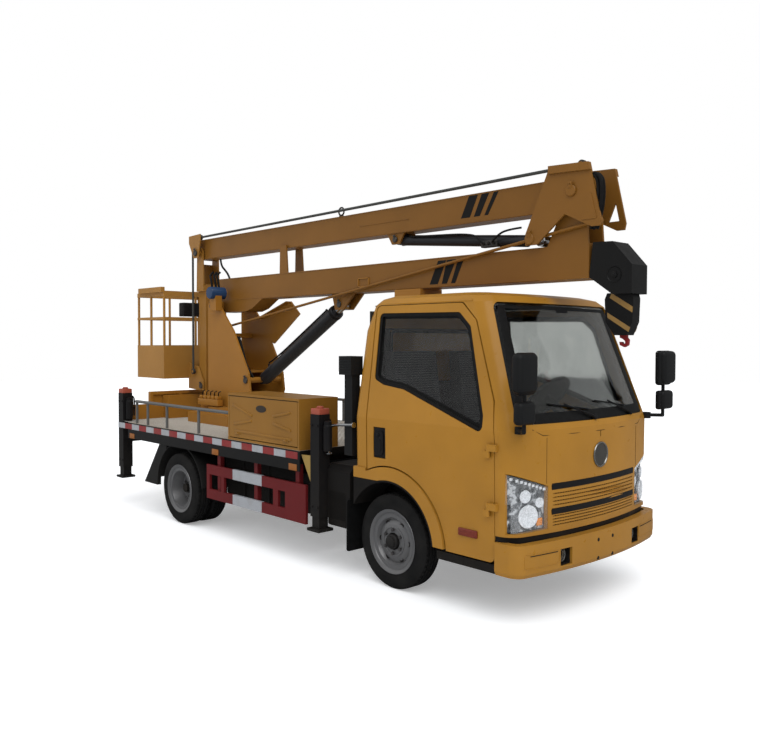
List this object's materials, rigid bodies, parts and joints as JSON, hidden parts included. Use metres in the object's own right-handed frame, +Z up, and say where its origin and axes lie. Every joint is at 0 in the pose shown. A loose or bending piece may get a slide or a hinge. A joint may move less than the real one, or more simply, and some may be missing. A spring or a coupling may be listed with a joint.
{
  "type": "cherry picker truck",
  "caption": "Light cab-over truck with a slewing folding boom, levelled basket, cylinders, outrigger legs, tool boxes, doors and steered wheels, all jointed.",
  "frame": {"origin": "on the ground under the middle of the truck's overall box", "axes": "+X forward along the truck, +Y to its left, +Z up"},
  "size_m": [6.356, 1.92, 3.0579],
  "materials": {
    "yellow_paint": "gloss",
    "boom_paint": "gloss",
    "black_paint": "satin",
    "deck_paint": "satin",
    "red_paint": "gloss",
    "frame_steel": "satin",
    "tyre": "matt",
    "wheel_steel": "satin",
    "forged_steel": "rough",
    "engine_iron": "rough",
    "rod_steel": "brushed",
    "chrome_rod": "polished",
    "glass": "clear",
    "lamp": "clear",
    "black_plastic": "matt",
    "seat_cloth": "woven"
  },
  "bodies": {
    "chassis": {"chassis_frame": "frame_steel", "front_axle": "forged_steel", "rear_axle": "forged_steel", "engine_block": "engine_iron", "fuel_tank": "frame_steel", "cab_floor": "black_paint", "cab_back": "yellow_paint", "cab_roof": "yellow_paint", "windscreen_frame": "yellow_paint", "front_panel": "yellow_paint", "head_lamps": "lamp", "bumper": "yellow_paint", "windscreen": "glass", "wheel_arches": "yellow_paint", "seats": "seat_cloth", "dashboard": "black_plastic", "mirrors": "black_plastic", "air_intake": "black_plastic", "deck": "deck_paint", "deck_rails": "rod_steel", "side_guards": "red_paint", "rear_mudguards": "black_plastic", "tool_boxes": "yellow_paint", "outrigger_beams": "black_paint", "boom_stand": "boom_paint", "turntable_base": "boom_paint"},
    "front_wheel_right": {"front_tyre_right": "tyre", "front_rim_right": "wheel_steel"},
    "front_wheel_left": {"front_tyre_left": "tyre", "front_rim_left": "wheel_steel"},
    "rear_wheels_right": {"rear_tyres_right": "tyre", "rear_rims_right": "wheel_steel"},
    "rear_wheels_left": {"rear_tyres_left": "tyre", "rear_rims_left": "wheel_steel"},
    "knuckle_right": {"knuckle_right": "forged_steel"},
    "knuckle_left": {"knuckle_left": "forged_steel"},
    "door_right": {"door_right": "yellow_paint"},
    "door_left": {"door_left": "yellow_paint"},
    "tool_door_right": {"tool_door_right": "yellow_paint"},
    "tool_door_left": {"tool_door_left": "yellow_paint"},
    "leg_front_right": {"leg_front_right": "black_paint"},
    "leg_front_left": {"leg_front_left": "black_paint"},
    "leg_rear_right": {"leg_rear_right": "black_paint"},
    "leg_rear_left": {"leg_rear_left": "black_paint"},
    "turret": {"turret": "boom_paint", "slew_drive": "black_paint"},
    "lower_boom": {"lower_boom": "boom_paint", "boom_head": "black_paint"},
    "lift_barrel": {"lift_barrel": "black_paint"},
    "lift_ram": {"lift_ram": "chrome_rod"},
    "lower_rod": {"lower_rod": "boom_paint"},
    "elbow_link": {"elbow_link": "boom_paint"},
    "upper_boom": {"upper_boom": "boom_paint"},
    "upper_barrel": {"upper_barrel": "black_paint"},
    "upper_ram": {"upper_ram": "chrome_rod"},
    "upper_rod": {"upper_rod": "boom_paint"},
    "tip_link": {"tip_link": "boom_paint"},
    "third_arm": {"third_arm": "boom_paint"},
    "third_rod": {"third_rod": "boom_paint"},
    "basket": {"basket": "boom_paint"}
  },
  "joints": [
    {"name": "slew", "type": "hinge", "parent": "chassis", "child": "turret", "pos_m": [-1.6, 0, 1.06], "axis": [0, 0, 1], "continuous": true},
    {"name": "lower_boom_raise", "type": "hinge", "parent": "turret", "child": "lower_boom", "pos_m": [-1.775, 0, 2.195], "axis": [0, -1, 0], "range_deg": [0, 75]},
    {"name": "lift_barrel_swing", "type": "hinge", "parent": "turret", "child": "lift_barrel", "pos_m": [-1.12, 0, 1.41], "axis": [0, -1, 0], "range_deg": [0, 62.54]},
    {"name": "lift_ram_slide", "type": "slide", "parent": "lift_barrel", "child": "lift_ram", "axis": [0.8662, 0, 0.4997], "range_m": [0, 1.167]},
    {"name": "lower_rod_swing", "type": "hinge", "parent": "turret", "child": "lower_rod", "pos_m": [-1.584, -0.13, 1.976], "axis": [0, -1, 0], "range_deg": [0, 75]},
    {"name": "elbow_link_level", "type": "hinge", "parent": "lower_boom", "child": "elbow_link", "pos_m": [2.755, 0, 2.853], "axis": [0, 1, 0], "range_deg": [0, 75]},
    {"name": "upper_boom_raise", "type": "hinge", "parent": "elbow_link", "child": "upper_boom", "pos_m": [2.755, 0, 2.853], "axis": [0, 1, 0], "range_deg": [0, 65]},
    {"name": "upper_barrel_swing", "type": "hinge", "parent": "upper_boom", "child": "upper_barrel", "pos_m": [0.934, 0, 2.69], "axis": [0, 1, 0], "range_deg": [0, 2.87]},
    {"name": "upper_ram_slide", "type": "slide", "parent": "upper_barrel", "child": "upper_ram", "axis": [0.9958, 0, -0.0919], "range_m": [0, 0.4858]},
    {"name": "upper_rod_swing", "type": "hinge", "parent": "elbow_link", "child": "upper_rod", "pos_m": [2.815, -0.13, 3.028], "axis": [0, 1, 0], "range_deg": [0, 65]},
    {"name": "tip_link_level", "type": "hinge", "parent": "upper_boom", "child": "tip_link", "pos_m": [-2.23, 0, 2.81], "axis": [0, -1, 0], "range_deg": [0, 65]},
    {"name": "third_arm_swing", "type": "hinge", "parent": "tip_link", "child": "third_arm", "pos_m": [-2.23, 0, 2.81], "axis": [0, 1, 0], "range_deg": [0, 110]},
    {"name": "third_rod_swing", "type": "hinge", "parent": "tip_link", "child": "third_rod", "pos_m": [-2.345, -0.13, 2.974], "axis": [0, 1, 0], "range_deg": [0, 110]},
    {"name": "basket_level", "type": "hinge", "parent": "third_arm", "child": "basket", "pos_m": [-2.23, 0, 1.3], "axis": [0, -1, 0], "range_deg": [0, 110]},
    {"name": "steer_right", "type": "hinge", "parent": "chassis", "child": "knuckle_right", "pos_m": [1.68, -0.648, 0.35], "axis": [0, 0, 1], "range_deg": [-35, 35]},
    {"name": "steer_left", "type": "hinge", "parent": "chassis", "child": "knuckle_left", "pos_m": [1.68, 0.648, 0.35], "axis": [0, 0, 1], "range_deg": [-35, 35]},
    {"name": "front_wheel_right_roll", "type": "hinge", "parent": "knuckle_right", "child": "front_wheel_right", "pos_m": [1.68, -0.7425, 0.35], "axis": [0, 1, 0], "continuous": true},
    {"name": "front_wheel_left_roll", "type": "hinge", "parent": "knuckle_left", "child": "front_wheel_left", "pos_m": [1.68, 0.7425, 0.35], "axis": [0, 1, 0], "continuous": true},
    {"name": "rear_wheels_right_roll", "type": "hinge", "parent": "chassis", "child": "rear_wheels_right", "pos_m": [-1.27, -0.7375, 0.35], "axis": [0, 1, 0], "continuous": true},
    {"name": "rear_wheels_left_roll", "type": "hinge", "parent": "chassis", "child": "rear_wheels_left", "pos_m": [-1.27, 0.7375, 0.35], "axis": [0, 1, 0], "continuous": true},
    {"name": "door_right_open", "type": "hinge", "parent": "chassis", "child": "door_right", "pos_m": [2.623, -0.879, 0.9], "axis": [0, 0, 1], "range_deg": [0, 65]},
    {"name": "door_left_open", "type": "hinge", "parent": "chassis", "child": "door_left", "pos_m": [2.623, 0.879, 0.9], "axis": [0, 0, -1], "range_deg": [0, 65]},
    {"name": "tool_door_right_open", "type": "hinge", "parent": "chassis", "child": "tool_door_right", "pos_m": [0.183, -0.925, 0.968], "axis": [1, 0, 0], "range_deg": [0, 95]},
    {"name": "tool_door_left_open", "type": "hinge", "parent": "chassis", "child": "tool_door_left", "pos_m": [0.183, 0.925, 0.968], "axis": [-1, 0, 0], "range_deg": [0, 95]},
    {"name": "leg_front_right_drop", "type": "slide", "parent": "chassis", "child": "leg_front_right", "axis": [0, 0, -1], "range_m": [0, 0.3]},
    {"name": "leg_front_left_drop", "type": "slide", "parent": "chassis", "child": "leg_front_left", "axis": [0, 0, -1], "range_m": [0, 0.3]},
    {"name": "leg_rear_right_drop", "type": "slide", "parent": "chassis", "child": "leg_rear_right", "axis": [0, 0, -1], "range_m": [0, 0.3]},
    {"name": "leg_rear_left_drop", "type": "slide", "parent": "chassis", "child": "leg_rear_left", "axis": [0, 0, -1], "range_m": [0, 0.3]}
  ],
  "couplings": [
    {"joint": "lift_barrel_swing", "follows": "lower_boom_raise", "ratio": 0.83326},
    {"joint": "lift_ram_slide", "follows": "lower_boom_raise", "m_per_rad": 0.89075},
    {"joint": "lower_rod_swing", "follows": "lower_boom_raise", "ratio": 1},
    {"joint": "elbow_link_level", "follows": "lower_boom_raise", "ratio": 1},
    {"joint": "upper_barrel_swing", "follows": "upper_boom_raise", "ratio": 0.043954},
    {"joint": "upper_ram_slide", "follows": "upper_boom_raise", "m_per_rad": 0.42735},
    {"joint": "upper_rod_swing", "follows": "upper_boom_raise", "ratio": 1},
    {"joint": "tip_link_level", "follows": "upper_boom_raise", "ratio": 1},
    {"joint": "third_rod_swing", "follows": "third_arm_swing", "ratio": 1},
    {"joint": "basket_level", "follows": "third_arm_swing", "ratio": 1},
    {"joint": "steer_left", "follows": "steer_right", "ratio": 1}
  ]
}
